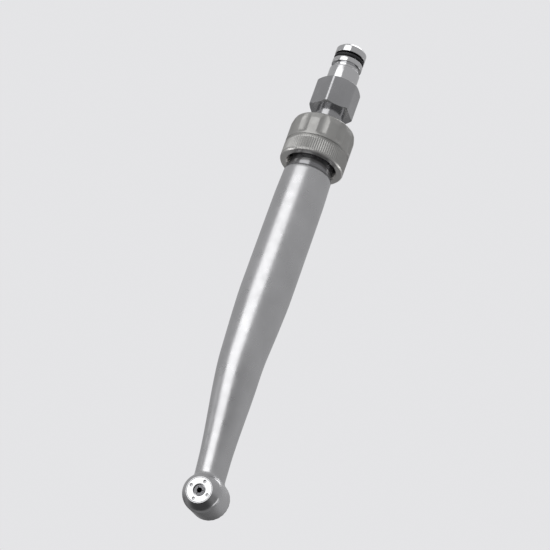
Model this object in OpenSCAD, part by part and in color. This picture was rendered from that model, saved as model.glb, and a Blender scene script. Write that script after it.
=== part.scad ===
// High speed dental handpiece, screwed to its hexagonal quick-connect coupling.
// Millimetres. +Z runs up the coupling axis, away from the handpiece, and the origin is
// on that axis at the plug's shoulder. The bur side faces -Y; the neck bends toward +Y.

/* [Coupling] */
// diameter of the quick-connect plug
plug_d = 9; // [8:0.1:10]
// length of the plug above its shoulder
plug_len = 13; // [12.5:0.1:14]
// hexagon size across its flats
hex_af = 12; // [11:0.5:13]
// length of the hexagon
hex_len = 9.1; // [8.6:0.1:12]
// diameter of the neck between hexagon and nut
core_d = 8.2; // [8:0.1:9]
// bare neck between hexagon and nut
neck_gap = 5.2; // [3:0.1:6]
// diameter of the coupling nut
nut_d = 19; // [18:0.5:21]
// length of the coupling nut
nut_len = 13.9; // [13.5:0.1:16]
// number of grip scallops round the nut
scallops = 10; // [8:1:12]
// bare tail between nut and handle
tail_gap = 3.1; // [2:0.1:4]

/* [Handle] */
// handle diameter where it leaves the nut
tail_d = 14.2; // [14:0.1:14.6]
// largest diameter of the grip
grip_d = 15.1; // [14.5:0.1:16]
// distance from the nut's mouth to the bend
reach = 67.7; // [60:0.1:80]
// angle of the bend
bend = 12; // [10:1:22]
// centreline radius of the bend
bend_r = 36; // [24:1:50]
// handle diameter through the bend
bend_d = 13.4; // [12:0.1:14]
// distance from the bend to the head's axis
neck_len = 41; // [38:0.5:46]
// neck diameter at the head
neck_d = 9.1; // [8.6:0.1:9.4]
// shell wall thickness
wall = 0.75; // [0.6:0.05:0.8]

/* [Head] */
// tilt of the head's axis from square to the neck
head_tilt = 3.5; // [0:0.5:10]
// head diameter
head_d = 11.8; // [11.6:0.1:12.6]
// height of the head without its button
head_h = 13.2; // [13.2:0.1:14]
// diameter of the polished face ring
ring_d = 7.5; // [7:0.1:8]
// diameter of the opening in the face
face_hole_d = 3.6; // [3.5:0.1:4]
// bur shank diameter
shank_d = 1.6; // [1.6:0.01:1.61]
// number of impeller blades
blades = 8; // [6:1:10]
// number of balls in each bearing
balls = 7; // [6:1:8]

/* [Hidden] */
$fn = 72;
slip = 0.06;                        // radial clearance of a sliding fit
snug = 0.01;                        // radial gap of parts fixed together
lap = 0.4;                          // overlap of straight lengths on the curved one
step = 0.04;                        // how much thinner the curved length is
plug_r = plug_d / 2;
nut_r = nut_d / 2;
nut_top = -hex_len - neck_gap;
nut_end = nut_top - nut_len;
flange_r = 6.2;
flange_z = [nut_top - 3.7, nut_top - 1.05];
gasket_z = [flange_z[0] - 1.2, flange_z[0]];
thread_r = 6.55;
tail_z = [nut_end + 3.2, gasket_z[0] - 0.05];
shell_top = nut_end - tail_gap;
spigot_r = tail_d / 2 - wall - 0.02;
spigot_end = shell_top - 7.6;
tube_tip = nut_top + 1;
bend_z = nut_end - reach;
bend_cut = bend_r * tan(bend / 2);
head_r = head_d / 2;
face = -head_h / 2;
ring_back = face + 0.45;
brg_w = 2.38;
brg_r = 3.175;
brg_bore = 1.59;
pitch_r = 2.39;
ball_r = 0.5;
seat_r = 3.3;
front_brg = face + 1.1;
rear_brg = face + 7.7;
chamber_r = 4.6;
chamber_z = [face + 3.65, face + 7.5];
cap_z = face + 11;
cap_top = head_h / 2 - 0.7;
spindle_r = 1.58;
spindle_bore = 1.27;
collet_z = [face + 0.35, face + 8.9];
button_r = 3.4;
flange_t = 0.44;

// each line through the handle: x, y, outer radius, bore radius
drive = [0, -2.1, 0.8, 0.55];
exhaust = [0, 2.2, 1.0, 0.75];
water = [-2.5, 0, 0.5, 0.3];
chip_air = [2.5, 0, 0.5, 0.3];
lines = [drive, exhaust, water, chip_air];

// outer radius along the handle from its rear end, and along the neck from the bend
grip = [
    [tail_d / 2, shell_top],
    [grip_d / 2 - 0.15, shell_top - 10],
    [grip_d / 2 - 0.05, shell_top - 28],
    [grip_d / 2, shell_top - 41],
    [grip_d / 2 - 0.3, shell_top - 50],
    [bend_d / 2, bend_z + bend_cut],
    [bend_d / 2, bend_z + bend_cut - lap]
];
neck = [
    [bend_d / 2, lap - bend_cut],
    [bend_d / 2, -bend_cut],
    [bend_d / 2 - 0.6, -10],
    [neck_d / 2 + 0.92, -17],
    [neck_d / 2 + 0.4, -24],
    [neck_d / 2 + 0.1, -30],
    [neck_d / 2, 3.5 - neck_len]
];

steel = [0.72, 0.72, 0.73];
satin = [0.62, 0.63, 0.64];
bright = [0.85, 0.86, 0.87];
nickel = [0.68, 0.66, 0.62];
rubber = [0.1, 0.1, 0.11];
brass = [0.74, 0.58, 0.3];

// ---- frames ----

// frame at the bend, its -Z running down the neck
module on_neck() {
    translate([0, 0, bend_z])
        rotate([bend, 0, 0])
            children();
}

// frame where the neck meets the head, its +Z running back up the neck
module on_neck_end() {
    on_neck()
        translate([0, 0, -neck_len])
            children();
}

// frame at the head's centre, its -Z pointing the way the bur points
module on_head() {
    on_neck_end()
        rotate([head_tilt - 90, 0, 0])
            translate([0, 0, 0.5])
                children();
}

// sweeps a flat profile, drawn as (-y, x), round the bend
module round_bend() {
    translate([0, bend_r, bend_z + bend_cut])
        rotate([0, 90, 0])
            rotate([0, 0, -90])
                rotate_extrude(angle = bend)
                    translate([bend_r, 0])
                        children();
}

// ---- shared shapes ----

module spun(points) {
    rotate_extrude()
        polygon(points);
}

// a solid ring between two radii and two heights
module ring(inner, outer, low, high) {
    rotate_extrude()
        translate([inner, low])
            square([outer - inner, high - low]);
}

module rod(r, low, high) {
    translate([0, 0, low])
        cylinder(r = r, h = high - low);
}

// the four line bores, opened by a gap, between two heights
module line_bores(gap, low, high) {
    for (l = lines)
        translate([l[0], l[1], 0])
            rod(l[2] + gap, low, high);
}

// a solid that follows an outer profile, thinner by a given amount
module turned(profile, less) {
    last = len(profile) - 1;
    spun(concat(
        [[0, profile[0][1]]],
        [for (p = profile) [p[0] - less, p[1]]],
        [[0, profile[last][1]]]
    ));
}

module straight_tube(l, low, high) {
    translate([l[0], l[1], 0])
        ring(l[3], l[2], low, high);
}

// a solid line from the coupling, round the bend and down the neck; the straight
// lengths lap over the curved one
module long_rod(l, r, end, tip) {
    translate([l[0], l[1], 0])
        rod(r, bend_z + bend_cut - lap, tip);
    round_bend()
        translate([-l[1], l[0]])
            circle(r = r - step);
    on_neck()
        translate([l[0], l[1], 0])
            rod(r, -end, lap - bend_cut);
}

module long_tube(l, end) {
    difference() {
        long_rod(l, l[2], end, tube_tip);
        long_rod(l, l[3], end + 1, tube_tip + 1);
    }
}

// the handle's outline as a solid, thinner by a given amount
module handle_solid(less) {
    turned(grip, less);
    round_bend()
        circle(r = bend_d / 2 - less - step);
    on_neck()
        turned(neck, less);
}

// ---- coupling ----

module plug() {
    color(bright)
        spun([
            [1.6, -4.5], [3, -4.5], [3, 0], [plug_r, 0], [plug_r, 5.2], [plug_r - 0.7, 5.6],
            [plug_r - 0.7, 6.4], [plug_r, 6.8], [plug_r, 8.4], [plug_r - 1.1, 8.4],
            [plug_r - 1.1, 10.2], [plug_r, 10.2], [plug_r, plug_len - 0.8],
            [plug_r - 0.8, plug_len], [1.6, plug_len]
        ]);
}

module plug_oring() {
    color(rubber)
        rotate_extrude()
            translate([plug_r - 0.55, 9.3])
                circle(r = 0.52);
}

module hex_body() {
    corner = hex_af / 2 / cos(30);
    color(steel)
        difference() {
            intersection() {
                rotate([0, 0, 90])
                    translate([0, 0, -hex_len])
                        cylinder(r = corner, h = hex_len, $fn = 6);
                spun([
                    [0, -hex_len], [hex_af / 2 + 0.1, -hex_len], [corner + 0.1, -hex_len + 0.6],
                    [corner + 0.1, -0.6], [hex_af / 2 + 0.1, 0], [0, 0]
                ]);
            }
            rod(3 + snug, -4.5, 1);
            rod(2.6, -6, 0);
            rod(3.75 + snug, -hex_len - 1, -5.2);
        }
}

module connector_core() {
    color(steel)
        difference() {
            spun([
                [0, flange_z[0]], [flange_r, flange_z[0]], [flange_r, flange_z[1]],
                [core_d / 2, flange_z[1]], [core_d / 2, -hex_len], [3.75, -hex_len],
                [3.75, -5.2], [0, -5.2]
            ]);
            line_bores(slip, flange_z[0] - 1, -5);
        }
}

module gasket() {
    color(rubber)
        difference() {
            rod(5.4, gasket_z[0], gasket_z[1]);
            line_bores(slip, gasket_z[0] - 1, gasket_z[1] + 1);
        }
}

module coupling_nut() {
    mouth_r = tail_d / 2 + 0.5;
    shoulder = nut_top - 1;
    band = nut_end + 5;
    color(nickel)
        difference() {
            spun([
                [core_d / 2 + slip, nut_top], [nut_r - 1.5, nut_top], [nut_r - 0.5, nut_top - 0.7],
                [nut_r - 0.1, nut_top - 1.6], [nut_r, nut_top - 2.6], [nut_r, band + 0.9],
                [nut_r - 0.35, band + 0.6], [nut_r - 0.35, band + 0.3], [nut_r, band],
                [nut_r, nut_end + 0.7], [nut_r - 0.4, nut_end], [mouth_r, nut_end],
                [mouth_r, nut_end + 1.4], [thread_r + slip, nut_end + 1.8],
                [thread_r + slip, flange_z[0] - 0.8], [flange_r + 0.2, flange_z[0] - 0.8],
                [flange_r + 0.2, shoulder], [core_d / 2 + slip, shoulder]
            ]);
            for (i = [0:scallops - 1])
                rotate([0, 0, i * 360 / scallops])
                    translate([nut_r + 1.8, 0, 0])
                        rod(2.4, band + 1.6, nut_top + 1);
        }
}

// ---- tail and lines ----

module tail_connector() {
    color(steel)
        difference() {
            spun([
                [0, spigot_end], [spigot_r, spigot_end], [spigot_r, spigot_end + 3.2],
                [spigot_r - 0.6, spigot_end + 3.2], [spigot_r - 0.6, spigot_end + 4.4],
                [spigot_r, spigot_end + 4.4], [spigot_r, tail_z[0]], [thread_r, tail_z[0]],
                [thread_r, tail_z[1] - 0.6], [thread_r - 0.6, tail_z[1]], [0, tail_z[1]]
            ]);
            line_bores(snug, spigot_end - 1, tail_z[1] + 1);
        }
}

module tail_oring() {
    color(rubber)
        rotate_extrude()
            translate([spigot_r - 0.3, spigot_end + 3.8])
                circle(r = 0.28);
}

module drive_air_tube() {
    color(bright)
        long_tube(drive, neck_len - 5.3);
}

module exhaust_tube() {
    color(bright)
        straight_tube(exhaust, spigot_end - 0.5, tube_tip);
}

module water_tube() {
    color(bright)
        long_tube(water, neck_len - 7.5);
}

module chip_air_tube() {
    color(bright)
        long_tube(chip_air, neck_len - 7.5);
}

// ---- handle ----

module handle_shell() {
    color(satin)
        difference() {
            handle_solid(0);
            handle_solid(wall);
            rod(tail_d / 2 - wall, shell_top - 1, shell_top + 1);
            on_head()
                rod(head_r + 0.02, face, cap_z + 2);
        }
}

// a disc that holds the lines apart and lets the return air past
module spacer(r, low, high) {
    difference() {
        rod(r, low, high);
        line_bores(snug, low - 1, high + 1);
        translate([0, exhaust[1], low - 1])
            cylinder(r = 1.5, h = high - low + 2);
    }
}

module rear_spacer() {
    color(brass)
        spacer(grip_d / 2 - wall - 0.13, shell_top - 22, shell_top - 20.4);
}

module front_spacer() {
    color(brass)
        on_neck()
            spacer(4.78, -15.5, -14.2);
}

// ---- head ----

module head_housing() {
    color(satin)
        difference() {
            union() {
                on_head()
                    spun([
                        [0, face], [ring_d / 2 + 0.2, face], [head_r - 0.9, face + 1.1],
                        [head_r - 0.25, face + 2], [head_r, face + 3], [head_r, cap_z], [0, cap_z]
                    ]);
                on_neck_end()
                    rod(neck_d / 2 - wall - 0.1, 4.9, 11);
            }
            on_head()
                turbine_space();
            on_neck_end()
                neck_passages();
        }
}

// the face opening, bearing seat, turbine chamber and cap bore
module turbine_space() {
    rod(ring_d / 2 + snug, face - 1, ring_back);
    rod(face_hole_d / 2, face - 1, front_brg);
    rod(seat_r, front_brg - 0.1, chamber_z[0] + 0.1);
    rod(4.05, front_brg + 0.75, front_brg + 1.65);
    rod(chamber_r, chamber_z[0], chamber_z[1]);
    rod(5, chamber_z[1] - 0.01, cap_z + 1);
}

// drive air and return air reach the chamber; the spray lines stop in the neck
module neck_passages() {
    translate([0, drive[1], 0]) {
        rod(drive[2] + snug, 5.3, 12);
        rod(drive[3], 4, 6);
    }
    translate([0, -0.5, 0])
        rod(0.6, 4, 12);
    for (l = [water, chip_air])
        translate([l[0], l[1], 0])
            rod(l[2] + snug, 7.5, 12);
}

module face_ring() {
    color(bright)
        on_head()
            difference() {
                ring(face_hole_d / 2, ring_d / 2, face, ring_back);
                for (a = [22:90:292])
                    rotate([0, 0, a])
                        translate([2.85, 0, 0])
                            rod(0.28, face - 1, ring_back + 1);
            }
}

module head_cap() {
    color(satin)
        on_head()
            spun([
                [seat_r, chamber_z[1] + 0.1], [4.95, chamber_z[1] + 0.1], [4.95, cap_z + 0.02],
                [head_r, cap_z + 0.02], [head_r - 0.1, cap_z + 0.6], [head_r - 0.55, cap_top],
                [4.1, cap_top], [4.1, rear_brg + 2.75], [1.75, rear_brg + 2.75],
                [1.75, rear_brg + 2.5], [seat_r, rear_brg + 2.5], [seat_r, rear_brg + 1.64],
                [4.05, rear_brg + 1.64], [4.05, rear_brg + 0.74], [seat_r, rear_brg + 0.74]
            ]);
}

module cap_ring() {
    color(bright)
        on_head()
            spun([
                [button_r + slip, cap_top], [head_r - 0.6, cap_top],
                [head_r - 0.8, cap_top + 0.45], [head_r - 1.3, cap_top + 0.7],
                [button_r + slip, cap_top + 0.7]
            ]);
}

module seal(z) {
    color(rubber)
        on_head()
            rotate_extrude()
                translate([3.61, z])
                    circle(r = 0.41);
}

module front_oring() {
    seal(front_brg + 1.2);
}

module rear_oring() {
    seal(rear_brg + 1.19);
}

module preload_washer() {
    color(bright)
        on_head()
            ring(2.7, 3.2, rear_brg + brg_w + 0.01, rear_brg + 2.49);
}

// ---- bearings ----

// one race between two radii, with the groove its balls run in
module race(inner, outer, z) {
    color(bright)
        on_head()
            translate([0, 0, z])
                rotate_extrude()
                    difference() {
                        translate([inner, 0])
                            square([outer - inner, brg_w]);
                        translate([pitch_r, brg_w / 2])
                            circle(r = ball_r + 0.02);
                    }
}

// places children at each ball of a bearing
module at_balls(z) {
    for (i = [0:balls - 1])
        rotate([0, 0, i * 360 / balls])
            translate([pitch_r, 0, z + brg_w / 2])
                children();
}

module ball_set(z) {
    color(bright)
        on_head()
            at_balls(z)
                sphere(r = ball_r);
}

module cage(z) {
    color(brass)
        on_head()
            difference() {
                ring(2.17, 2.61, z + 0.45, z + brg_w - 0.45);
                at_balls(z)
                    rotate([0, 90, 0])
                        cylinder(r = ball_r + 0.04, h = 1, center = true);
            }
}

module front_outer_race() {
    race(2.72, brg_r, front_brg);
}

module rear_outer_race() {
    race(2.72, brg_r, rear_brg);
}

module front_inner_race() {
    race(brg_bore, 2.06, front_brg);
}

module rear_inner_race() {
    race(brg_bore, 2.06, rear_brg);
}

module front_balls() {
    ball_set(front_brg);
}

module rear_balls() {
    ball_set(rear_brg);
}

module front_cage() {
    cage(front_brg);
}

module rear_cage() {
    cage(rear_brg);
}

// ---- rotor and chuck ----

module spindle() {
    color(steel)
        on_head()
            ring(spindle_bore, spindle_r, face + 0.4, rear_brg + 2.7);
}

module impeller() {
    low = chamber_z[0] + 0.2;
    tall = chamber_z[1] - chamber_z[0] - 0.45;
    color(brass)
        on_head() {
            ring(brg_bore, 2.5, low, low + tall);
            for (i = [0:blades - 1])
                rotate([0, 0, i * 360 / blades])
                    translate([0, 0, low + 0.1])
                        linear_extrude(tall - 0.2)
                            polygon([
                                [2.2, -0.3], [3.2, -0.5], [3.9, -0.35], [4.2, -0.05],
                                [3.9, -0.1], [3.2, -0.2], [2.2, 0.3]
                            ]);
        }
}

module chuck_collet() {
    color(steel)
        on_head()
            difference() {
                ring(shank_d / 2, 1.25, collet_z[0], collet_z[1]);
                for (a = [0:120:240])
                    rotate([0, 0, a])
                        translate([0, -0.1, collet_z[0] - 1])
                            cube([2, 0.2, 6]);
            }
}

module chuck_plunger() {
    top = rear_brg + 3.2;
    color(bright)
        on_head()
            spun([
                [0, top - 1.4], [0.5, top - 1.4], [0.7, top - 1.2], [0.7, top - 0.95],
                [1.2, top - 0.95], [1.2, top - 0.15], [1.05, top], [0, top]
            ]);
}

// a stack of cone springs between the collet and the plunger's head
module chuck_spring() {
    low = collet_z[1] + 0.03;
    folds = 6;
    rise = (rear_brg + 3.2 - 0.95 - 0.03 - low) / folds;
    inner = [for (i = [0:folds]) [i % 2 == 0 ? 0.8 : 1.07, low + i * rise]];
    outer = [for (i = [folds:-1:0]) [i % 2 == 0 ? 0.92 : 1.19, low + i * rise]];
    color(bright)
        on_head()
            spun(concat(inner, outer));
}

// ---- push button ----

module push_button() {
    color(bright)
        on_head()
            spun([
                [0, cap_top - 1.45], [0.9, cap_top - 1.45], [0.9, cap_top - 0.5],
                [4, cap_top - 0.5], [4, cap_top - 0.5 + flange_t], [button_r, cap_top - 0.5 + flange_t],
                [button_r, cap_top + 0.75], [button_r - 0.3, cap_top + 0.95],
                [button_r - 1.2, cap_top + 1.02], [0, cap_top + 0.9]
            ]);
}

// a cone spring between the cap's floor and the button's flange
module button_spring() {
    low = rear_brg + 2.77;
    high = cap_top - 0.52;
    color(bright)
        on_head()
            spun([[1.9, low], [2.05, low], [3.95, high], [3.8, high]]);
}

plug();
plug_oring();
hex_body();
connector_core();
gasket();
coupling_nut();
tail_connector();
tail_oring();
drive_air_tube();
exhaust_tube();
water_tube();
chip_air_tube();
handle_shell();
rear_spacer();
front_spacer();
head_housing();
face_ring();
head_cap();
cap_ring();
front_outer_race();
rear_outer_race();
front_oring();
rear_oring();
preload_washer();
spindle();
impeller();
chuck_collet();
front_inner_race();
rear_inner_race();
front_balls();
front_cage();
rear_balls();
rear_cage();
push_button();
button_spring();
chuck_plunger();
chuck_spring();
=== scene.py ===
"""A high speed dental handpiece hanging from its coupling: the looks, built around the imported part.

Shapes are worked out in millimetres in the part's own frame and become metres in piece().
"""

import math

import bmesh
import bpy
from mathutils import Matrix, Vector


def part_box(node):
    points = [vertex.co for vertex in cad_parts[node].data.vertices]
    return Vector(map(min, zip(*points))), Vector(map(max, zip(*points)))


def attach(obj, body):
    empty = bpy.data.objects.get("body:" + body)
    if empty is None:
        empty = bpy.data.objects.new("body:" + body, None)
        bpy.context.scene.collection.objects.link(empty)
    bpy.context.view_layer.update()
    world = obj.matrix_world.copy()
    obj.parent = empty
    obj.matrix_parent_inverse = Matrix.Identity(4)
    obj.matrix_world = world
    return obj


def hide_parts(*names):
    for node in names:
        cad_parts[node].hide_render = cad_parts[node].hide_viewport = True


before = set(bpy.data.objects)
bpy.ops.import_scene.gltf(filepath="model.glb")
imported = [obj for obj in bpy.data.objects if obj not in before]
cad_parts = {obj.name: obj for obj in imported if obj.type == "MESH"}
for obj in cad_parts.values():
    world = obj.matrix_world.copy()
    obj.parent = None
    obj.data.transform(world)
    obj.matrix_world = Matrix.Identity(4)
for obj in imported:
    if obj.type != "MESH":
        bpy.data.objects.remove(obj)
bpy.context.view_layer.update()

MM = 0.001
TAU = 2 * math.pi

# ---- sizes, in millimetres ----


def z_span(node):
    """A node's lowest and highest point along the coupling's axis, in millimetres."""
    low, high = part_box(node)
    return low[2] / MM, high[2] / MM


SLIP = 0.06                     # gap of a sliding fit
SNUG = 0.01                     # gap of parts fixed together

PLUG_R = 4.5
COLLAR_R, COLLAR_END = 3.0, -4.5    # the plug's collar, held in the hexagon
CORE_R, CORE_TOP = 3.75, -5.2       # the connector core's end, held in the hexagon
HEX_END, _ = z_span("hex_body")
HEX_FLATS = 12.0
NUT_END, NUT_TOP = z_span("coupling_nut")
NUT_R = 9.5
NUT_NECK_R = 4.1                # the core's neck, inside the nut
BAND = NUT_END + 5.0            # top of the nut's lower, straight-cut band
MOUTH_R, MOUTH_DEPTH = 7.6, 1.8

THREAD_R = 6.55
THREAD_PITCH = 1.0
THREAD_LOW, THREAD_HIGH = NUT_END + 3.2, NUT_TOP - 4.95
SPIGOT_R = 6.33
SHELL_TOP = NUT_END - 3.1
SPIGOT_END = SHELL_TOP - 7.6
LINES = [                       # x, y and radius of the bores for the tubes
    (0, -2.1, 0.81), (0, 2.2, 1.01), (-2.5, 0, 0.51), (2.5, 0, 0.51),
]

WALL = 0.75
BEND_Z = NUT_END - 67.7         # where the handle's axis and the neck's axis cross
BEND = math.radians(12)
BEND_R = 36.0
BEND_CUT = BEND_R * math.tan(BEND / 2)
STRAIGHT = SHELL_TOP - BEND_Z - BEND_CUT    # length of the handle above its bend
NECK_LEN = 41.0
NECK_R = 4.55

HEAD_TILT = math.radians(3.5)
HEAD_SHIFT = 0.5                # from the neck's axis to the head's own zero, toward the cap
HEAD_R = 5.9
FACE = -6.6                     # from here on, heights are in the head's own frame
NOSE_TOP = FACE + 3.2           # where the rounded nose meets the round barrel
FRONT_BEARING, REAR_BEARING = FACE + 1.1, FACE + 7.7
SEAT_R, RACE_RING_R = 3.3, 4.05     # a bearing's seat and the groove for its O-ring
CAP_Z = 4.4
CAP_TOP = 5.9
COVER_R = 4.95                  # the part of the cap that goes down into the head
RING_R = 3.75
RING_BACK = FACE + 0.45
FACE_HOLE_R = 1.8
BUTTON_R = 3.4

ON_NECK = Matrix.Translation((0, 0, BEND_Z)) @ Matrix.Rotation(BEND, 4, "X")
ON_NECK_END = ON_NECK @ Matrix.Translation((0, 0, -NECK_LEN))
ON_HEAD = (
    ON_NECK_END
    @ Matrix.Rotation(HEAD_TILT - TAU / 4, 4, "X")
    @ Matrix.Translation((0, 0, HEAD_SHIFT))
)

# ---- mesh helpers ----


def piece(name, verts, faces, body, replaces=(), slot=None, at=Matrix(), sharp=40):
    """A mesh object from millimetre points, riding on a body, with edges sharper than an angle kept sharp."""
    mesh = bpy.data.meshes.new(name)
    mesh.from_pydata([at @ Vector(v) * MM for v in verts], [], faces)
    bm = bmesh.new()
    bm.from_mesh(mesh)
    bmesh.ops.remove_doubles(bm, verts=bm.verts, dist=1e-8)
    bmesh.ops.recalc_face_normals(bm, faces=bm.faces)
    bm.to_mesh(mesh)
    bm.free()
    obj = bpy.data.objects.new(name, mesh)
    bpy.context.scene.collection.objects.link(obj)
    smooth(obj, sharp)
    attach(obj, body)
    if replaces:
        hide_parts(*replaces)
    return obj


def smooth(obj, sharp):
    obj.data.shade_smooth()
    obj.data.set_sharp_from_angle(angle=math.radians(sharp))


def rounded(points, radius=0.15, closed=True, steps=4):
    """An outline with its corners turned into arcs. A point's third number is its own corner radius."""
    out = []
    count = len(points)
    for i, point in enumerate(points):
        here = Vector(point[:2])
        r = point[2] if len(point) > 2 else radius
        if r == 0 or not closed and i in (0, count - 1):
            out.append(tuple(here))
            continue
        a = Vector(points[i - 1][:2]) - here
        b = Vector(points[(i + 1) % count][:2]) - here
        half = a.angle(b) / 2
        reach = min(r / math.tan(half), 0.45 * a.length, 0.45 * b.length)
        start, end = here + a.normalized() * reach, here + b.normalized() * reach
        for k in range(steps + 1):
            t = k / steps
            out.append(tuple(start * (1 - t) ** 2 + here * 2 * t * (1 - t) + end * t * t))
    return out


def filled_in(points, longest, closed=True):
    """The outline with no stretch longer than a given length."""
    out = []
    last = len(points) if closed else len(points) - 1
    for i in range(last):
        a, b = Vector(points[i]), Vector(points[(i + 1) % len(points)])
        parts = max(1, math.ceil((b - a).length / longest))
        out += [tuple(a.lerp(b, k / parts)) for k in range(parts)]
    if not closed:
        out.append(tuple(points[-1]))
    return out


def turned(outline, columns=96, closed=True, cut=None):
    """Points and faces of an outline turned about Z. cut(angle, r, z) gives a point its own radius."""
    verts, rows = [], []
    for r, z in outline:
        if r < 1e-6:
            rows.append([len(verts)] * columns)
            verts.append((0, 0, z))
            continue
        rows.append(list(range(len(verts), len(verts) + columns)))
        for i in range(columns):
            a = TAU * i / columns
            q = cut(a, r, z) if cut else r
            verts.append((q * math.cos(a), q * math.sin(a), z))
    return verts, joined(rows, closed)


def joined(rows, closed):
    """The faces between rings of points, and from the last ring to the first if closed."""
    faces = []
    count = len(rows)
    for i in range(count if closed else count - 1):
        low, high = rows[i], rows[(i + 1) % count]
        for k in range(len(low)):
            n = (k + 1) % len(low)
            face = [low[k], low[n], high[n], high[k]]
            face = [v for j, v in enumerate(face) if v != face[j - 1]]
            if len(face) > 2:
                faces.append(face)
    return faces


def soft_min(a, b, k=0.05):
    """The smaller of two numbers, with the corner between them rounded over about k."""
    return min(a, b) - k * math.log1p(math.exp(-abs(a - b) / k))


def ripple(angle, count):
    """0 on a ridge and 1 in a valley, count times round."""
    phase = (angle * count / TAU) % 1
    return abs(2 * phase - 1)


def cut_away(obj, *tools):
    """Cuts each tool's shape out of a piece."""
    for tool in tools:
        change = obj.modifiers.new("cut", "BOOLEAN")
        change.object = tool
        change.solver = "EXACT"
    bpy.context.view_layer.update()
    done = obj.evaluated_get(bpy.context.evaluated_depsgraph_get())
    mesh = bpy.data.meshes.new_from_object(done)
    obj.modifiers.clear()
    obj.data = mesh
    for tool in tools:
        bpy.data.objects.remove(tool)


def rod_tool(r, x, y, low, high, at=Matrix()):
    """A round bar for cut_away, at x, y in a frame."""
    return turned_tool([(0, low), (r, low), (r, high), (0, high)], x, y, at)


def turned_tool(outline, x, y, at=Matrix()):
    """A turned shape for cut_away, at x, y in a frame."""
    mesh = bpy.data.meshes.new("tool")
    verts, faces = turned(outline, 24, closed=False)
    place = at @ Matrix.Translation((x, y, 0))
    mesh.from_pydata([place @ Vector(v) * MM for v in verts], [], faces)
    obj = bpy.data.objects.new("tool", mesh)
    bpy.context.scene.collection.objects.link(obj)
    return obj


# ---- materials ----

MIDDLE = (0.3, 0.7)             # the part of a noise's range where most of its values lie


class Tree:
    """The node tree of a material or a world, written one node at a time."""

    def __init__(self, owner):
        owner.use_nodes = True
        self.tree = owner.node_tree
        self.tree.nodes.clear()

    def add(self, kind, **values):
        node = self.tree.nodes.new(kind)
        for key, value in values.items():
            if hasattr(node, key):
                setattr(node, key, value)
            else:
                node.inputs[key].default_value = value
        return node

    def join(self, source, target):
        self.tree.links.new(source, target)

    def mapped(self, value, start, end, low=0.0, high=1.0):
        """Turns start..end into low..high, and stays within them."""
        node = self.add("ShaderNodeMapRange")
        for name, number in zip(("From Min", "From Max", "To Min", "To Max"), (start, end, low, high)):
            node.inputs[name].default_value = number
        self.join(value, node.inputs["Value"])
        return node.outputs["Result"]

    def product(self, a, b):
        node = self.add("ShaderNodeMath", operation="MULTIPLY")
        self.join(a, node.inputs[0])
        self.join(b, node.inputs[1])
        return node.outputs[0]


class Nodes(Tree):
    """A material with one principled shader."""

    def __init__(self, name):
        self.material = bpy.data.materials.new(name)
        super().__init__(self.material)
        self.shader = self.add("ShaderNodeBsdfPrincipled")
        out = self.add("ShaderNodeOutputMaterial")
        self.join(self.shader.outputs["BSDF"], out.inputs["Surface"])
        self.place = self.add("ShaderNodeTexCoord").outputs["Object"]

    def noise(self, per_mm, stretch=(1, 1, 1), detail=3.0):
        """Noise with so many bumps to a millimetre, drawn out where stretch is small."""
        scale = [s * per_mm / MM for s in stretch]
        mapping = self.add("ShaderNodeMapping", Scale=scale)
        self.join(self.place, mapping.inputs["Vector"])
        noise = self.add("ShaderNodeTexNoise", Scale=1.0, Detail=detail)
        self.join(mapping.outputs["Vector"], noise.inputs["Vector"])
        return noise.outputs["Fac"]

    def spread(self, value, low, high):
        """Maps the middle of a noise to low..high."""
        return self.mapped(value, *MIDDLE, low, high)

    def tones(self, value, dark, light):
        """A colour between two, chosen by the middle of a noise."""
        ramp = self.add("ShaderNodeValToRGB")
        for element, position, colour in zip(ramp.color_ramp.elements, MIDDLE, (dark, light)):
            element.position = position
            element.color = (*colour, 1)
        self.join(value, ramp.inputs["Fac"])
        return ramp.outputs["Color"]

    def bump(self, height, deep, strength=1.0, under=None):
        """Relief of a given depth in millimetres."""
        node = self.add("ShaderNodeBump", Strength=strength, Distance=deep * MM)
        self.join(height, node.inputs["Height"])
        if under:
            self.join(under, node.inputs["Normal"])
        return node.outputs["Normal"]


def metal(name, tone, rough, grain=4.0, stretch=(1, 1, 1), relief=0.0006, tint=0.05):
    """Bare metal: cloudy tone, handled patches in the polish, and a fine grain drawn out along one way."""
    n = Nodes(name)
    n.shader.inputs["Metallic"].default_value = 1.0
    cloud = n.noise(0.12)
    fine = n.noise(grain, stretch, 4.0)
    patches = n.noise(0.35, detail=5.0)
    dark = [c * (1 - tint) for c in tone]
    light = [min(1, c * (1 + tint)) for c in tone]
    n.join(n.tones(cloud, dark, light), n.shader.inputs["Base Color"])
    n.join(n.spread(patches, rough * 0.84, rough * 1.18), n.shader.inputs["Roughness"])
    n.join(n.bump(fine, relief), n.shader.inputs["Normal"])
    return n.material


def rubber(name, tone):
    n = Nodes(name)
    n.shader.inputs["Specular IOR Level"].default_value = 0.35
    fine = n.noise(3.0, detail=4.0)
    n.join(n.tones(fine, [c * 0.7 for c in tone], [c * 1.4 for c in tone]), n.shader.inputs["Base Color"])
    n.join(n.spread(fine, 0.5, 0.68), n.shader.inputs["Roughness"])
    n.join(n.bump(fine, 0.01, 0.5), n.shader.inputs["Normal"])
    return n.material


def resin(name, tone):
    """The bearing cages' woven-filled resin."""
    n = Nodes(name)
    fine = n.noise(8.0, (1, 1, 0.3))
    n.join(n.tones(fine, [c * 0.75 for c in tone], [c * 1.2 for c in tone]), n.shader.inputs["Base Color"])
    n.join(n.spread(fine, 0.4, 0.55), n.shader.inputs["Roughness"])
    n.join(n.bump(fine, 0.004), n.shader.inputs["Normal"])
    return n.material


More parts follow.
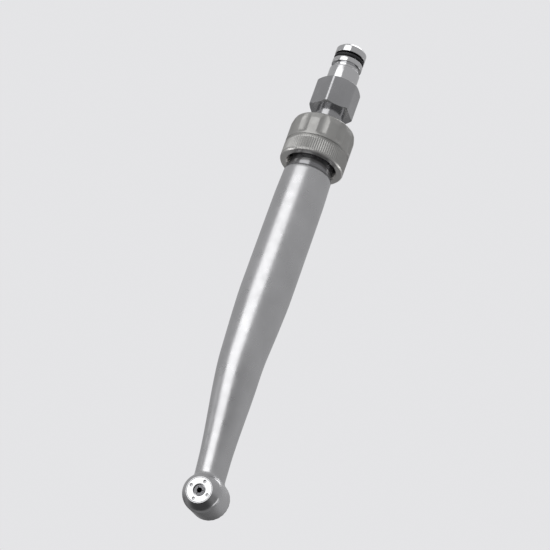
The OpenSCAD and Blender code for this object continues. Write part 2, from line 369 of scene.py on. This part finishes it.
EVEN = (1, 1, 1)                # how a metal's fine grain is drawn out along X, Y and Z
LENGTHWISE = (1, 1, 0.06)
ROUND_ABOUT = (0.1, 0.1, 1)
SATIN = metal("satin_steel", (0.60, 0.60, 0.61), 0.30, 3.0, LENGTHWISE, 0.0008)
SATIN_HEAD = metal("satin_steel_head", (0.58, 0.58, 0.59), 0.27, 3.0, EVEN, 0.0003)
# lighter nickel for the nut's end face and mouth: a painted highlight on its rim
NUT_RIM_PAINTED_HIGHLIGHT = metal("nickel_rim_painted_highlight", (0.80, 0.79, 0.77), 0.3, 4.0, EVEN, 0.0003)
NICKEL = metal("satin_nickel", (0.47, 0.467, 0.455), 0.5, 3.0, (1, 1, 0.3), 0.0005, 0.07)
HEX_STEEL = metal("hexagon_steel", (0.46, 0.46, 0.47), 0.24, 2.5, (1, 1, 0.2), 0.0003, 0.08)
# steel darker than the handle's for the connector core: painted shade in the recess between hexagon and nut
CORE_STEEL_PAINTED_SHADE = metal("turned_steel", (0.42, 0.42, 0.43), 0.2, 4.0, ROUND_ABOUT, 0.0004)
# darkened steel for the tail: painted shade in the gap under the nut's mouth
TAIL_STEEL_PAINTED_SHADE = metal("tail_steel_painted_shade", (0.30, 0.30, 0.31), 0.17, 4.0, ROUND_ABOUT, 0.0004)
POLISHED = metal("polished_chrome", (0.70, 0.70, 0.71), 0.12, 2.0, EVEN, 0.0001, 0.02)
BUTTON = metal("button_steel", (0.74, 0.74, 0.75), 0.16, 3.0, EVEN, 0.0004, 0.03)
# very dark steel for the spindle and chuck: painted shade inside the head's face hole
CHUCK_STEEL_PAINTED_SHADE = metal("chuck_steel_painted_shade", (0.20, 0.20, 0.21), 0.34, 5.0, EVEN, 0.001, 0.15)
GROUND = metal("ground_steel", (0.62, 0.62, 0.63), 0.18, 6.0, EVEN, 0.0005)
DRAWN = metal("drawn_tube", (0.66, 0.67, 0.68), 0.22, 3.0, LENGTHWISE, 0.0008)
BRASS = metal("turned_brass", (0.72, 0.53, 0.25), 0.24, 3.0, EVEN, 0.001, 0.08)
ANODISED = metal("anodised_aluminium", (0.66, 0.61, 0.50), 0.36, 5.0, EVEN, 0.001, 0.06)
SEAL = rubber("seal_rubber", (0.03, 0.03, 0.034))
CAGE = resin("cage_resin", (0.34, 0.19, 0.08))

CAD_FINISH = {
    "plug_oring": SEAL, "gasket": SEAL, "tail_oring": SEAL, "front_oring": SEAL, "rear_oring": SEAL,
    "connector_core": CORE_STEEL_PAINTED_SHADE,
    "drive_air_tube": DRAWN, "exhaust_tube": DRAWN, "water_tube": DRAWN, "chip_air_tube": DRAWN,
    "rear_spacer": BRASS, "front_spacer": BRASS,
    "front_outer_race": GROUND, "rear_outer_race": GROUND,
    "front_inner_race": GROUND, "rear_inner_race": GROUND,
    "front_balls": POLISHED, "rear_balls": POLISHED,
    "front_cage": CAGE, "rear_cage": CAGE,
    "preload_washer": GROUND, "button_spring": GROUND, "chuck_spring": GROUND,
    "spindle": CHUCK_STEEL_PAINTED_SHADE, "chuck_collet": CHUCK_STEEL_PAINTED_SHADE, "chuck_plunger": CHUCK_STEEL_PAINTED_SHADE,
    "impeller": ANODISED,
}


def finish_cad():
    for node, material in CAD_FINISH.items():
        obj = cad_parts[node]
        for i in range(len(obj.material_slots)):
            obj.material_slots[i].material = material


# ---- coupling ----


def build_plug():
    r, bore, tip = PLUG_R, 1.6, 13.0
    latch_r, seal_r, tip_r = r - 0.7, r - 1.1, r - 0.8
    outline = rounded([
        (bore, COLLAR_END, 0), (COLLAR_R, COLLAR_END, 0), (COLLAR_R, 0, 0), (r, 0, 0), (r, 5.2, 0.25),
        (latch_r, 5.6, 0.2), (latch_r, 6.4, 0.2), (r, 6.8, 0.25), (r, 8.4, 0.2), (seal_r, 8.4, 0.1),
        (seal_r, 10.2, 0.1), (r, 10.2, 0.2), (r, 12.2, 0.3), (tip_r, tip, 0.3), (bore, tip, 0.25),
    ])
    plug = piece("plug_body", *turned(outline), "coupling", ["plug"], "plug")
    port_r, port_at = 0.45, 2.75
    ports = [rod_tool(port_r, port_at * math.cos(a), port_at * math.sin(a), tip - 2.4, tip + 1)
             for a in (TAU * (1 + 4 * k) / 12 for k in range(3))]
    cut_away(plug, *ports)
    smooth(plug, 40)
    plug.data.materials.append(POLISHED)


def hexagon(angle):
    """The distance from the axis to a hexagon's side with slightly rounded corners."""
    power = 22                             # a higher one makes sharper corners
    total = sum(max(0.0, math.cos(angle - TAU * i / 6)) ** power for i in range(6))
    return HEX_FLATS / 2 / total ** (1 / power)


def build_hexagon():
    flat_r = HEX_FLATS / 2 + 0.1
    corner = HEX_FLATS / 2 / math.cos(TAU / 12) + 0.1
    chamfer, passage_r = 0.6, 2.6
    outline = filled_in(rounded([
        (CORE_R + SNUG, HEX_END, 0), (flat_r, HEX_END, 0.1), (corner, HEX_END + chamfer, 0),
        (corner, -chamfer, 0), (flat_r, 0, 0.1), (COLLAR_R + SNUG, 0, 0), (COLLAR_R + SNUG, COLLAR_END, 0),
        (passage_r, COLLAR_END, 0), (passage_r, CORE_TOP, 0), (CORE_R + SNUG, CORE_TOP, 0),
    ]), 0.09)

    def cut(angle, r, z):
        return soft_min(r, hexagon(angle), 0.035) if r > 5 else r

    def near_an_edge(r, z):
        return r > 4 and not HEX_END + 0.9 <= z <= -0.9

    thinned = [p for i, p in enumerate(outline) if near_an_edge(*p) or i % 8 == 0]
    obj = piece("hexagon", *turned(thinned, 360, cut=cut), "coupling", ["hex_body"], "hex_body", sharp=30)
    obj.data.materials.append(HEX_STEEL)


def build_nut():
    scallops, cutter_at, cutter_r = 10, NUT_R + 2.6, 3.05
    knurls, knurl_deep = 90, 0.16
    run_out = BAND + 1.6                   # where the scallops fade out
    bore_r, pocket_r = THREAD_R + SLIP, 6.4
    crown_r, edge_r, groove_r = NUT_R - 1.5, NUT_R - 0.4, NUT_R - 0.25
    outline = [
        (NUT_NECK_R + SLIP, NUT_TOP, 0.15), (crown_r, NUT_TOP, 1.2), (edge_r, NUT_TOP - 0.8, 0.8),
        (NUT_R, NUT_TOP - 2.6, 1.2), (NUT_R, BAND + 0.75, 0.08), (groove_r, BAND + 0.5, 0.05),
        (groove_r, BAND + 0.3, 0.05), (NUT_R, BAND, 0.08), (NUT_R, NUT_END + 0.5, 0.15),
        (edge_r, NUT_END, 0.15), (MOUTH_R, NUT_END, 0.15), (MOUTH_R - 0.35, NUT_END + 0.6, 0.1),
        (bore_r, NUT_END + MOUTH_DEPTH, 0.05), (bore_r, THREAD_HIGH, 0), (pocket_r, THREAD_HIGH, 0),
        (pocket_r, NUT_TOP - 1, 0), (NUT_NECK_R + SLIP, NUT_TOP - 1, 0),
    ]

    def scallop(angle):
        """The distance from the axis to a round cutter's near side, or far out beside it."""
        pitch = TAU / scallops
        off = (angle + pitch / 2) % pitch - pitch / 2
        inside = cutter_r ** 2 - (cutter_at * math.sin(off)) ** 2
        return cutter_at * math.cos(off) - math.sqrt(inside) if inside > 0 else 2 * NUT_R

    def cut(angle, r, z):
        if r < crown_r + 0.5:
            return r
        if z > run_out - 0.5:
            lift = max(0.0, run_out + 0.5 - z)
            return soft_min(r, scallop(angle) + lift ** 2, 0.06)
        if NUT_END + 0.3 < z < BAND:
            fade = min(1.0, (z - NUT_END - 0.3) / 0.5, (BAND - z) / 0.25)
            return r - knurl_deep * fade * ripple(angle, knurls)
        return r

    rows = filled_in(rounded(outline), 0.3)
    obj = piece("nut", *turned(rows, 360, cut=cut), "nut", ["coupling_nut"], "coupling_nut", sharp=50)
    obj.data.materials.append(NICKEL)
    obj.data.materials.append(NUT_RIM_PAINTED_HIGHLIGHT)
    for face in obj.data.polygons:         # the end face and the mouth get the lighter nickel: a painted highlight on the nut's rim
        low = face.center.z < (NUT_END + MOUTH_DEPTH + 0.1) * MM
        inside = face.center.xy.length < (MOUTH_R + 0.1) * MM
        face.material_index = int(low and (inside or face.normal.z < -0.5))


# ---- tail ----


def build_tail():
    """The tail that the nut draws up, with a real helical thread."""
    top = THREAD_HIGH - 0.05
    deep, fade_over = 0.45, 0.5
    first, last = THREAD_LOW + 0.15, top - 0.5
    seal_r, seal_low, seal_high = SPIGOT_R - 0.6, SPIGOT_END + 3.2, SPIGOT_END + 4.4

    def cut(angle, r, z):
        if r < THREAD_R - 0.01 or not first < z < last:
            return r
        fade = min(1.0, (z - first) / fade_over, (last - z) / fade_over)
        turn = (z / THREAD_PITCH + angle / TAU) % 1
        groove = min(1.0, max(0.0, 1.35 - abs(2 * turn - 1) * 1.7))    # flat crest, flank, flat root
        return r - deep * fade * groove

    rows = filled_in(rounded([
        (0, SPIGOT_END, 0), (SPIGOT_R, SPIGOT_END, 0.3), (SPIGOT_R, seal_low, 0.05),
        (seal_r, seal_low, 0.05), (seal_r, seal_high, 0.05), (SPIGOT_R, seal_high, 0.05),
        (SPIGOT_R, THREAD_LOW, 0.1), (THREAD_R, THREAD_LOW, 0.15), (THREAD_R, top - 0.6, 0.1),
        (THREAD_R - 0.6, top, 0.1), (0, top, 0),
    ], closed=False), 0.1, closed=False)

    def on_thread(r, z):
        return z > THREAD_LOW - 0.3 and r > THREAD_R - 0.65

    rows = [p for i, p in enumerate(rows) if on_thread(*p) or i % 6 == 0 or p in (rows[0], rows[-1])]
    tail = piece("tail", *turned(rows, 96, closed=False, cut=cut), "handpiece", ["tail_connector"],
                 "tail_connector", sharp=50)
    cut_away(tail, *[rod_tool(r, x, y, SPIGOT_END - 1, top + 1) for x, y, r in LINES])
    smooth(tail, 50)
    # the tail's darkened steel is painted shade for the recess under the nut
    tail.data.materials.append(TAIL_STEEL_PAINTED_SHADE)


# ---- handle ----


def eased(stations, s):
    """A smooth value at s through (s, value) stations, with no overshoot."""
    xs, ys = zip(*stations)
    slopes = [(ys[i + 1] - ys[i]) / (xs[i + 1] - xs[i]) for i in range(len(xs) - 1)]
    ends = [slopes[0], *(
        0 if a * b <= 0 else 2 * a * b / (a + b) for a, b in zip(slopes, slopes[1:])
    ), slopes[-1]]
    i = max(0, min(len(xs) - 2, sum(x <= s for x in xs) - 1))
    h = xs[i + 1] - xs[i]
    t = (s - xs[i]) / h
    return ((1 + 2 * t) * (1 - t) ** 2 * ys[i] + t * (1 - t) ** 2 * h * ends[i]
            + t * t * (3 - 2 * t) * ys[i + 1] + t * t * (t - 1) * h * ends[i + 1])


def head_radius(z):
    """The head's radius at a height in its own frame."""
    nose = [(FACE, RING_R + 0.2), (FACE + 1.05, 5.0), (FACE + 2.05, 5.65), (NOSE_TOP, HEAD_R)]
    return eased(nose, max(z, FACE)) if z < NOSE_TOP else HEAD_R


def on_head_surface(x, y):
    """How far up the neck, from the neck's end, a line along it at x, y leaves the head."""
    to_head = ON_HEAD.inverted() @ ON_NECK_END
    low, high = 0.0, 9.0
    for _ in range(30):                    # halves the gap until it closes on the surface
        mid = (low + high) / 2
        p = to_head @ Vector((x, y, mid))
        inside = math.hypot(p.x, p.y) < head_radius(p.z)
        low, high = (mid, high) if inside else (low, mid)
    return high


def centre_line(s):
    """The frame at a distance s down the handle from its rear end."""
    if s < STRAIGHT:
        return Matrix.Translation((0, 0, SHELL_TOP - s))
    turn = min(BEND, (s - STRAIGHT) / BEND_R)
    hub = Vector((0, BEND_R, BEND_Z + BEND_CUT))
    past = s - STRAIGHT - turn * BEND_R
    place = Matrix.Translation(hub) @ Matrix.Rotation(turn, 4, "X") @ Matrix.Translation((0, -BEND_R, 0))
    return place @ Matrix.Translation((0, 0, -past))


def build_handle():
    columns = 96
    bend_end = STRAIGHT + BEND * BEND_R
    length = bend_end + NECK_LEN - BEND_CUT
    stations = [                           # distance from the rear end, and radius
        (0, 7.1), (10, 7.4), (28, 7.5), (41, 7.55), (50, 7.28), (STRAIGHT, 6.75), (bend_end, 6.42),
        (bend_end + 6.2, 6.05), (bend_end + 13.2, 5.5), (bend_end + 20.2, 4.97),
        (bend_end + 26.2, 4.67), (length - 3.5, NECK_R), (length, NECK_R),
    ]
    lip = 0.3
    fillet, fillet_steps, sunk = 0.9, 8, 0.02
    inside_end = length - 4.5
    shell_end, shell_steps = length - 7.5, 150
    stops = [k * shell_end / shell_steps for k in range(1, shell_steps + 1)]
    verts, rows = [], []

    def ring(points):
        rows.append(list(range(len(verts), len(verts) + columns)))
        verts.extend(points)

    def round_at(s, r):
        place = centre_line(s)
        ring([place @ Vector((r * math.cos(TAU * i / columns), r * math.sin(TAU * i / columns), 0))
              for i in range(columns)])

    for k in range(5):                     # the rounded rear edge
        a = TAU / 4 * k / 4
        round_at(lip * (1 - math.sin(a)), eased(stations, lip) - lip * (1 - math.cos(a)))
    for s in stops:
        round_at(s, eased(stations, s))
    for k in range(fillet_steps + 1):      # the fillet that runs out on the head
        a = TAU / 4 * k / fillet_steps
        points = []
        for i in range(columns):
            b = TAU * i / columns
            r = NECK_R + fillet * (1 - math.cos(a))
            x, y = r * math.cos(b), r * math.sin(b)
            z = on_head_surface(x, y) + fillet * (1 - math.sin(a)) - sunk
            points.append(ON_NECK_END @ Vector((x, y, z)))
        ring(points)
    for s in [inside_end, *reversed(stops[::3]), 0.0]:     # the inside, back to the rear end
        round_at(s, eased(stations, s) - WALL)
    obj = piece("handle", verts, joined(rows, True), "handpiece", ["handle_shell"], "handle_shell")
    obj.data.materials.append(SATIN)


# ---- head ----


def build_head():
    steps = 14
    nose = [FACE + (NOSE_TOP - FACE) * k / steps for k in range(steps + 1)]
    outer = [(head_radius(z), z) for z in nose]
    chamber_r, chamber_low, chamber_high = 4.6, FACE + 3.65, FACE + 7.5
    mouth_r, seat_end = COVER_R + 0.05, FRONT_BEARING - 0.1
    groove_low, groove_high = FRONT_BEARING + 0.75, FRONT_BEARING + 1.65
    inner = rounded([
        (HEAD_R, NOSE_TOP + 0.1, 0), (HEAD_R, CAP_Z, 0.12), (mouth_r, CAP_Z, 0.05),
        (mouth_r, chamber_high, 0), (chamber_r, chamber_high, 0), (chamber_r, chamber_low, 0),
        (SEAT_R, chamber_low, 0), (SEAT_R, groove_high, 0), (RACE_RING_R, groove_high, 0),
        (RACE_RING_R, groove_low, 0), (SEAT_R, groove_low, 0), (SEAT_R, seat_end, 0),
        (FACE_HOLE_R, seat_end, 0), (FACE_HOLE_R, RING_BACK, 0), (RING_R + SNUG, RING_BACK, 0),
        (RING_R + SNUG, FACE, 0),
    ], closed=False)
    shape = turned(outer + inner, 128)
    obj = piece("head", *shape, "handpiece", ["head_housing"], "head_housing", at=ON_HEAD)
    obj.data.materials.append(SATIN_HEAD)


def build_face_ring():
    outline = rounded([
        (FACE_HOLE_R, FACE + 0.12, 0.3), (RING_R, FACE, 0.25), (RING_R, RING_BACK, 0),
        (FACE_HOLE_R, RING_BACK, 0),
    ])
    ring = piece("spray_ring", *turned(outline, 128), "handpiece", ["face_ring"], "face_ring", at=ON_HEAD)
    spray_r, spray_at = 0.28, 2.85
    dish = [(0, FACE - 0.2), (0.75, FACE - 0.2), (0.3, FACE + 0.25), (0, FACE + 0.25)]
    for degrees in (22, 112, 202, 292):    # spray holes, each in a dished recess
        a = math.radians(degrees)
        x, y = spray_at * math.cos(a), spray_at * math.sin(a)
        cut_away(ring, turned_tool(dish, x, y, ON_HEAD))
        cut_away(ring, rod_tool(spray_r, x, y, FACE - 1, FACE + 1, ON_HEAD))
    smooth(ring, 40)
    ring.data.materials.append(POLISHED)


def build_cap():
    flutes, flute_deep, flute_low = 24, 0.14, CAP_Z + 0.3
    low, rim, well_r = REAR_BEARING - 0.1, CAP_Z + 0.02, 4.1
    floor_hole_r, floor_low, floor_high = 1.75, REAR_BEARING + 2.5, REAR_BEARING + 2.75
    groove_low, groove_high = REAR_BEARING + 0.74, REAR_BEARING + 1.64
    outline = filled_in(rounded([
        (SEAT_R, low, 0), (COVER_R, low, 0), (COVER_R, rim, 0), (HEAD_R, rim, 0.1),
        (HEAD_R - 0.08, CAP_Z + 0.55, 0.2), (HEAD_R - 0.55, CAP_TOP, 0.15), (well_r, CAP_TOP, 0),
        (well_r, floor_high, 0), (floor_hole_r, floor_high, 0), (floor_hole_r, floor_low, 0),
        (SEAT_R, floor_low, 0), (SEAT_R, groove_high, 0), (RACE_RING_R, groove_high, 0),
        (RACE_RING_R, groove_low, 0), (SEAT_R, groove_low, 0),
    ]), 0.25)

    def cut(angle, r, z):
        if r < COVER_R + 0.25 or z < flute_low:
            return r
        fade = min(1.0, (z - flute_low) / 0.3)
        return r - flute_deep * fade * max(0.0, ripple(angle, flutes) * 2 - 1)

    obj = piece("cap", *turned(outline, 240, cut=cut), "handpiece", ["head_cap"], "head_cap", at=ON_HEAD)
    obj.data.materials.append(SATIN_HEAD)


def build_cap_ring():
    bore_r, top = BUTTON_R + SLIP, CAP_TOP + 0.7
    outline = rounded([
        (bore_r, CAP_TOP, 0), (HEAD_R - 0.6, CAP_TOP, 0.05), (HEAD_R - 0.8, CAP_TOP + 0.45, 0.3),
        (HEAD_R - 1.3, top, 0.3), (bore_r, top, 0.15),
    ])
    obj = piece("button_ring", *turned(outline, 128), "handpiece", ["cap_ring"], "cap_ring", at=ON_HEAD)
    obj.data.materials.append(POLISHED)


def build_button():
    """The push button: a pin and flange inside, and a face with a round groove."""
    top, pin_r, pin_end = CAP_TOP, 0.9, CAP_TOP - 1.45
    flange_r, flange_low, flange_high = 4.0, top - 0.5, top - SLIP
    outline = rounded([
        (0, pin_end, 0), (pin_r, pin_end, 0.1), (pin_r, flange_low, 0), (flange_r, flange_low, 0.05),
        (flange_r, flange_high, 0.05), (BUTTON_R, flange_high, 0), (BUTTON_R, top + 0.75, 0.25),
        (BUTTON_R - 0.35, top + 0.96, 0.3), (2.5, top + 1.02, 0.2), (2.2, top + 0.98, 0.05),
        (2.05, top + 0.84, 0.05), (1.9, top + 0.96, 0.05), (1.2, top + 0.90, 0.4), (0, top + 0.84, 0),
    ], closed=False)
    shape = turned(outline, 128, closed=False)
    obj = piece("button", *shape, "button", ["push_button"], "push_button", at=ON_HEAD)
    obj.data.materials.append(BUTTON)


# ---- studio ----


def direction(azimuth, elevation):
    """Away from the part: azimuth 0 is toward -Y and positive turns toward +X."""
    a, e = math.radians(azimuth), math.radians(elevation)
    return Vector((math.sin(a) * math.cos(e), -math.cos(a) * math.cos(e), math.sin(e)))


CENTRE = Vector((0, 0.002, -0.0645))    # the middle of the part, in metres
BACKGROUND = (0.78, 0.78, 0.795, 1)


def softbox(name, azimuth, elevation, away, width, height, watts):
    """A soft lamp that faces the part from a distance in metres. The camera does not see the lamp."""
    data = bpy.data.lights.new(name, "AREA")
    data.shape = "RECTANGLE"
    data.size, data.size_y = width, height
    data.energy = watts
    lamp = bpy.data.objects.new(name, data)
    bpy.context.scene.collection.objects.link(lamp)
    back = direction(azimuth, elevation)
    lamp.location = CENTRE + back * away
    lamp.rotation_mode = "QUATERNION"
    lamp.rotation_quaternion = back.to_track_quat("Z", "Y")
    lamp.visible_camera = False


def build_floor():
    half, height = 12, -3.4                # metres
    mesh = bpy.data.meshes.new("floor")
    corners = [(-half, -half, height), (half, -half, height), (half, half, height), (-half, half, height)]
    mesh.from_pydata(corners, [], [(0, 1, 2, 3)])
    floor = bpy.data.objects.new("floor", mesh)
    bpy.context.scene.collection.objects.link(floor)
    pale = Nodes("pale_floor")
    cloud = pale.noise(0.004)
    tone = pale.tones(cloud, (0.05, 0.05, 0.05), (0.07, 0.07, 0.07))
    glow = pale.tones(cloud, (0.75, 0.75, 0.765), (0.77, 0.77, 0.785))
    pale.join(tone, pale.shader.inputs["Base Color"])
    pale.join(glow, pale.shader.inputs["Emission Color"])
    pale.shader.inputs["Emission Strength"].default_value = 1.0
    pale.shader.inputs["Roughness"].default_value = 0.8
    mesh.materials.append(pale.material)
    floor.visible_glossy = False           # seen by the camera only
    floor.visible_diffuse = False


def build_room():
    """A pale background for the camera, and a plain grey room for the metal to reflect."""
    world = bpy.data.worlds.new("studio")
    bpy.context.scene.world = world
    tree = Tree(world)
    toward = tree.add("ShaderNodeTexCoord").outputs["Generated"]
    split = tree.add("ShaderNodeSeparateXYZ")
    tree.join(toward, split.inputs[0])
    height = split.outputs["Z"]
    room = tree.add("ShaderNodeBackground")

    # the grey goes by height, from straight down at 0 to straight up at 1
    ramp = tree.add("ShaderNodeValToRGB")
    tree.join(tree.mapped(height, -1, 1), ramp.inputs["Fac"])
    tree.join(ramp.outputs["Color"], room.inputs["Color"])
    bands = [(0.1, 0.07), (0.28, 0.28), (0.42, 0.22), (0.53, 0.44), (0.72, 0.44), (1.0, 0.5)]
    for _ in bands[2:]:
        ramp.color_ramp.elements.new(0.5)
    for element, (position, grey) in zip(ramp.color_ramp.elements, bands):
        element.position = position
        element.color = (grey, grey, grey * 1.01, 1)

    # a dim patch behind the part and near the horizon
    facing = tree.add("ShaderNodeVectorMath", operation="DOT_PRODUCT")
    facing.inputs[1].default_value = (-0.51, 0.86, 0)
    tree.join(toward, facing.inputs[0])
    behind = tree.mapped(facing.outputs["Value"], 0.66, 0.92)
    level = tree.product(tree.mapped(height, 0.34, 0.12), tree.mapped(height, -0.25, -0.05))
    tree.join(tree.mapped(tree.product(behind, level), 0, 1, 1.0, 0.32), room.inputs["Strength"])

    seen = tree.add("ShaderNodeBackground", Color=BACKGROUND)
    mix, out = tree.add("ShaderNodeMixShader"), tree.add("ShaderNodeOutputWorld")
    tree.join(tree.add("ShaderNodeLightPath").outputs["Is Camera Ray"], mix.inputs["Fac"])
    tree.join(room.outputs[0], mix.inputs[1])
    tree.join(seen.outputs[0], mix.inputs[2])
    tree.join(mix.outputs[0], out.inputs["Surface"])


def build_studio():
    # name, azimuth, elevation, distance, width, height and watts
    softbox("key", -21, 6, 1.0, 0.95, 1.3, 5.1)
    softbox("top", 175, 66, 1.3, 0.8, 0.8, 4.0)
    softbox("side", 124, -15, 1.3, 0.35, 0.75, 1.1)
    softbox("far side", -76, -15, 1.3, 0.35, 0.75, 1.1)
    build_room()
    build_floor()


def build_camera():
    """Looks up at the part from below and in front, leaning as the part hangs."""
    azimuth, elevation, roll, away, view_width = 22, -28.5, 19.7, 2.6, 0.158
    data = bpy.data.cameras.new("camera")
    camera = bpy.data.objects.new("camera", data)
    bpy.context.scene.collection.objects.link(camera)
    back = direction(azimuth, elevation)
    camera.location = CENTRE + back * away
    camera.rotation_mode = "QUATERNION"
    look = back.to_track_quat("Z", "Y")
    camera.rotation_quaternion = look @ Matrix.Rotation(math.radians(roll), 4, "Z").to_quaternion()
    data.sensor_width = 36
    data.lens = data.sensor_width * away / view_width
    data.clip_start, data.clip_end = 0.05, 20
    bpy.context.scene.camera = camera


build_plug()
build_hexagon()
build_nut()
build_tail()
build_handle()
build_head()
build_face_ring()
build_cap()
build_cap_ring()
build_button()
finish_cad()
build_studio()
build_camera()
bpy.context.scene.view_settings.view_transform = "Standard"
